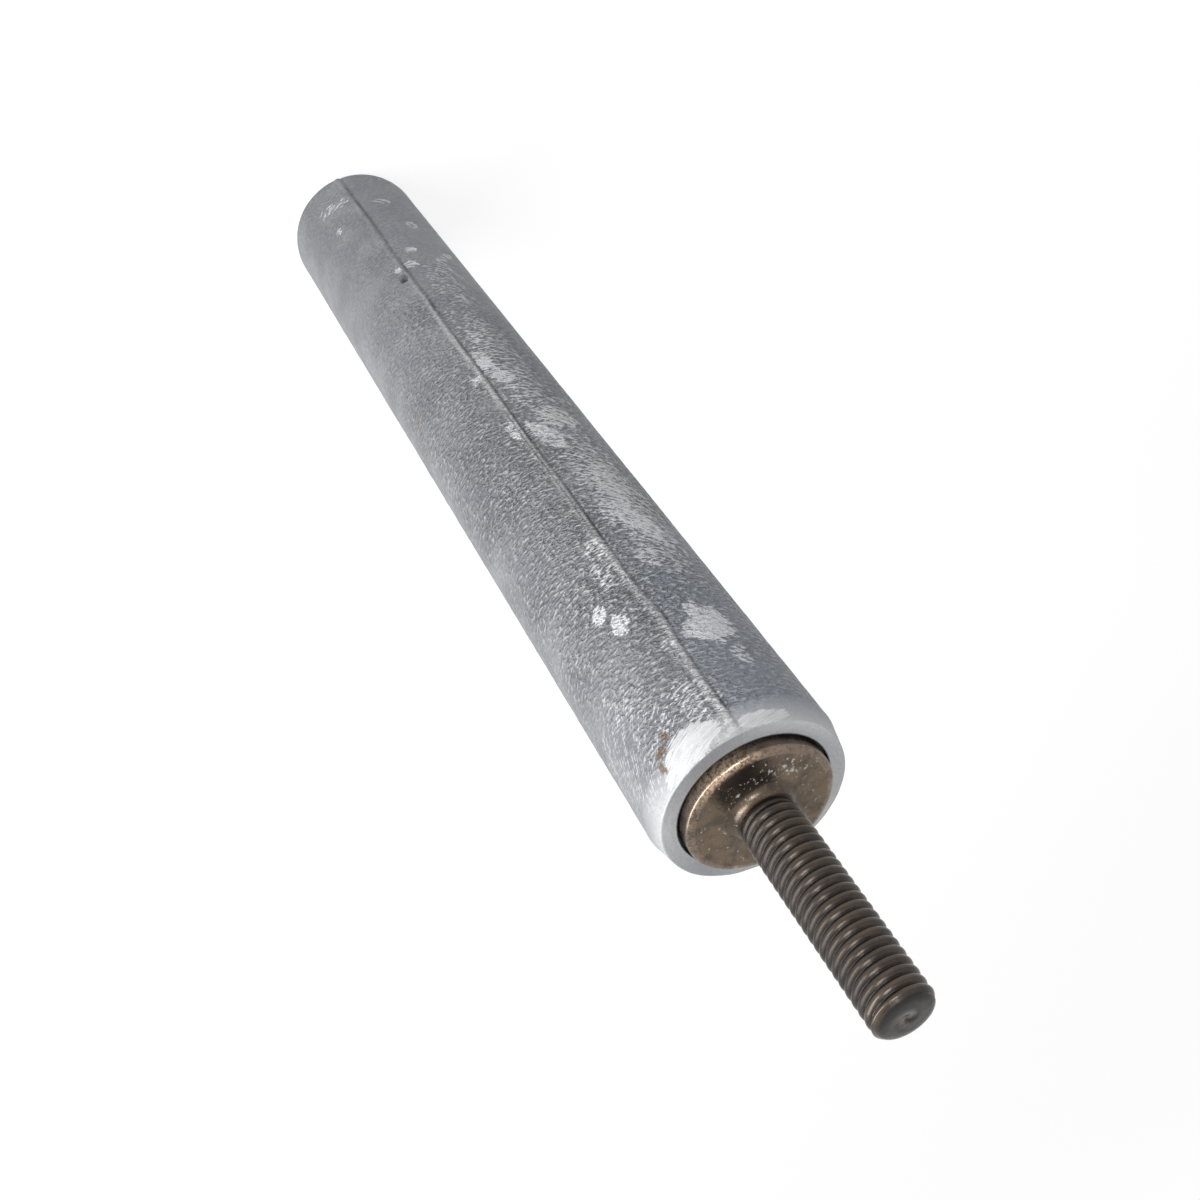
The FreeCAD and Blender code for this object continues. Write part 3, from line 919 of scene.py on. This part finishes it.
def add_camera():
    """The photograph's camera, with its picture's middle on the lens's own axis."""
    forward = Vector(PHOTO_FORWARD).normalized()
    right = forward.cross(Vector(PHOTO_UP)).normalized()
    above = right.cross(forward)
    camera = bpy.data.cameras.new("photo_camera")
    camera.sensor_width = SENSOR_WIDTH
    camera.lens = PHOTO_FOCAL_PIXELS / PHOTO_PIXELS * SENSOR_WIDTH
    camera.clip_start = 0.005
    holder = bpy.data.objects.new("photo_camera", camera)
    turned = Matrix((right, above, -forward)).transposed().to_4x4()
    holder.matrix_world = Matrix.Translation(Vector(PHOTO_EYE) * MM) @ turned
    bpy.context.scene.collection.objects.link(holder)
    bpy.context.scene.camera = holder


def length_property(name, description, millimetres):
    """A length for the sidebar, which holds it in metres."""
    return FloatProperty(
        name=name, description=description, default=millimetres * MM, min=0.0, precision=5,
        unit="LENGTH")


def colour_property(name, description, default):
    """A linear colour for the sidebar."""
    return FloatVectorProperty(
        name=name, description=description, default=default, size=3, min=0.0, max=1.0,
        subtype="COLOR")


class AnodeRodSettings(bpy.types.PropertyGroup):
    """Sizes and colours of the cast rod."""

    plain_end_round: length_property("Plain end rounding", "Rounding of the plain end's rim", 0.9)
    head_bevel_width: length_property("Bevel width", "Bevel of the head's rim, across", 0.6)
    head_bevel_rise: length_property("Bevel rise", "Bevel of the head's rim, along the axis", 2.6)
    crevice_width: length_property("Gap width", "Gap round the collar", 0.24)
    crevice_depth: length_property("Gap depth", "Gap below the head", 0.7)
    collar_sunk: length_property("Collar depth", "Collar below the head", 1.8)
    seam_height: length_property("Ridge height", "Parting ridge above the skin", 0.11)
    seam_groove: length_property("Groove depth", "Groove beside the parting ridge", 0.12)
    peel_depth: length_property("Orange peel", "Height of the mould's orange peel", 0.045)
    lump_depth: length_property("Unevenness", "Slow unevenness of the casting", 0.04)
    # Also the colour of the painted shade in the peel's hollows, on the head's face and in bands low
    # on the rod
    dark_skin: colour_property("Dark skin", "Hollows and dark areas", (0.105, 0.112, 0.125))
    grey_skin: colour_property("Grey skin", "The casting's main grey", (0.205, 0.21, 0.22))
    blue_skin: colour_property("Bluish skin", "The darker side by the head", (0.182, 0.198, 0.232))
    # Also partly painted highlight on the peel's crests
    pale_skin: colour_property("Pale skin", "Crests of the orange peel", (0.48, 0.48, 0.49))
    oxide: colour_property("Oxide", "White oxide and rubbed marks", (0.6, 0.61, 0.63))
    ring_grey: colour_property("Head grey", "The head's face and bevel", (0.46, 0.465, 0.475))
    scraped: colour_property("Scraped metal", "Scuffs by the head", (0.54, 0.55, 0.565))
    stain: colour_property("Stain", "Brown stains by the head", (0.12, 0.075, 0.045))
    groove: colour_property("Groove", "Dirt in the parting groove and pits", (0.03, 0.032, 0.036))


class AnodeStudSettings(bpy.types.PropertyGroup):
    """Sizes and colours of the threaded stud."""

    thread_pitch: length_property("Pitch", "Rise of the thread in one turn", 1.0)
    thread_radius: length_property("Thread radius", "Over the thread's crests", 2.97)
    thread_depth: length_property("Thread depth", "From crest to root", 0.36)
    first_crest_height: length_property("First crest", "First full crest above the head", 3.64)
    blank_radius: length_property("Blank radius", "Core and neck", 2.67)
    collar_proud: length_property("Collar height", "Collar above the head", 1.4)
    shoulder_width: length_property("Shoulder width", "Rounded shoulder, across", 0.85)
    shoulder_drop: length_property("Shoulder drop", "Rounded shoulder, along the axis", 0.4)
    neck_fillet: length_property("Neck fillet", "Fillet from the collar to the neck", 1.05)
    neck_length: length_property("Neck length", "Collar face to the thread", 1.6)
    tip_chamfer: length_property("Tip chamfer", "Chamfer at the tip", 0.6)
    tip_round: length_property("Tip rounding", "Rounding of the tip's face", 0.22)
    mark_radius: length_property("Centre mark radius", "Hollow in the tip's face", 0.6)
    mark_depth: length_property("Centre mark depth", "Hollow in the tip's face", 0.22)
    # Also the painted shade on one side of the collar's face
    blotch_and_shade_steel: colour_property("Dark steel", "Dark blotches and painted shade", (0.034, 0.029, 0.026))
    brown_steel: colour_property("Brown steel", "The stud's main brown", (0.058, 0.046, 0.037))
    collar_steel: colour_property("Collar steel", "The collar's olive face", (0.14, 0.1, 0.066))
    # Painted shade in the thread's roots and on one side of the thread
    shade_steel: colour_property("Thread roots", "Painted shade in the thread's roots and on one side of the thread", (0.02, 0.017, 0.015))
    rim_steel: colour_property("Collar rim", "The collar's rim", (0.2, 0.155, 0.13))
    tip_steel: colour_property("Tip", "The tip's dark face", (0.022, 0.022, 0.022))
    # Also the painted highlight on the collar's rim and on the thread's crests
    bronze: colour_property("Worn edges and highlight", "Worn rim with painted highlight, and painted highlight on crests", (0.6, 0.43, 0.3))
    dust: colour_property("Dust", "White specks on the collar", (0.5, 0.49, 0.47))


class ANODE_OT_magnesium_cast(bpy.types.Operator):
    """Builds the cast magnesium rod with its worn skin"""

    bl_idname = "anode.magnesium_cast"
    bl_label = "Cast Magnesium Rod"

    def execute(self, context):
        add_piece(make_rod_mesh(), "magnesium_body", make_magnesium())
        return {"FINISHED"}


class ANODE_OT_steel_forged(bpy.types.Operator):
    """Builds the steel stud with its collar and rolled thread"""

    bl_idname = "anode.steel_forged"
    bl_label = "Threaded Steel Stud"

    def execute(self, context):
        add_piece(make_stud_mesh(), "steel_stud", make_steel())
        return {"FINISHED"}


class ANODE_OT_stage(bpy.types.Operator):
    """Sets the camera, the white floor, the lamps and the surrounding light"""

    bl_idname = "anode.stage"
    bl_label = "Stage"

    def execute(self, context):
        context.scene.view_settings.view_transform = "Standard"
        add_camera()
        make_world()
        mesh = bpy.data.meshes.new("floor")
        signs = ((-1, -1), (1, -1), (1, 1), (-1, 1))
        corners = [(FLOOR_HALF * x, FLOOR_HALF * y, 0.0) for x, y in signs]
        mesh.from_pydata(corners, [], [(0, 1, 2, 3)])
        mesh.materials.append(make_paper())
        floor = bpy.data.objects.new("floor", mesh)
        context.scene.collection.objects.link(floor)
        for softbox in SOFTBOXES:
            add_softbox(*softbox)
        return {"FINISHED"}


class ANODE_PT_pieces(bpy.types.Panel):
    """Lists the pieces and their settings"""

    bl_idname = "ANODE_PT_pieces"
    bl_label = "Anode Rod"
    bl_space_type = "VIEW_3D"
    bl_region_type = "UI"
    bl_category = "Anode Rod"

    def draw(self, context):
        layout = self.layout
        for settings, operator in (
            (context.scene.anode_rod, ANODE_OT_magnesium_cast),
            (context.scene.anode_stud, ANODE_OT_steel_forged),
        ):
            box = layout.box()
            for name in settings.__annotations__:
                box.prop(settings, name)
            box.operator(operator.bl_idname)
        layout.operator(ANODE_OT_stage.bl_idname)


CLASSES = (
    AnodeRodSettings,
    AnodeStudSettings,
    ANODE_OT_magnesium_cast,
    ANODE_OT_steel_forged,
    ANODE_OT_stage,
    ANODE_PT_pieces,
)


def register():
    """Adds the settings, the operators and the panel."""
    for item in CLASSES:
        bpy.utils.register_class(item)
    bpy.types.Scene.anode_rod = PointerProperty(type=AnodeRodSettings)
    bpy.types.Scene.anode_stud = PointerProperty(type=AnodeStudSettings)


def unregister():
    """Takes them away again."""
    del bpy.types.Scene.anode_stud
    del bpy.types.Scene.anode_rod
    for item in reversed(CLASSES):
        bpy.utils.unregister_class(item)


def main():
    """Builds the stage and both pieces."""
    register()
    bpy.ops.anode.stage()
    bpy.ops.anode.magnesium_cast()
    bpy.ops.anode.steel_forged()


if __name__ == "__main__":
    main()
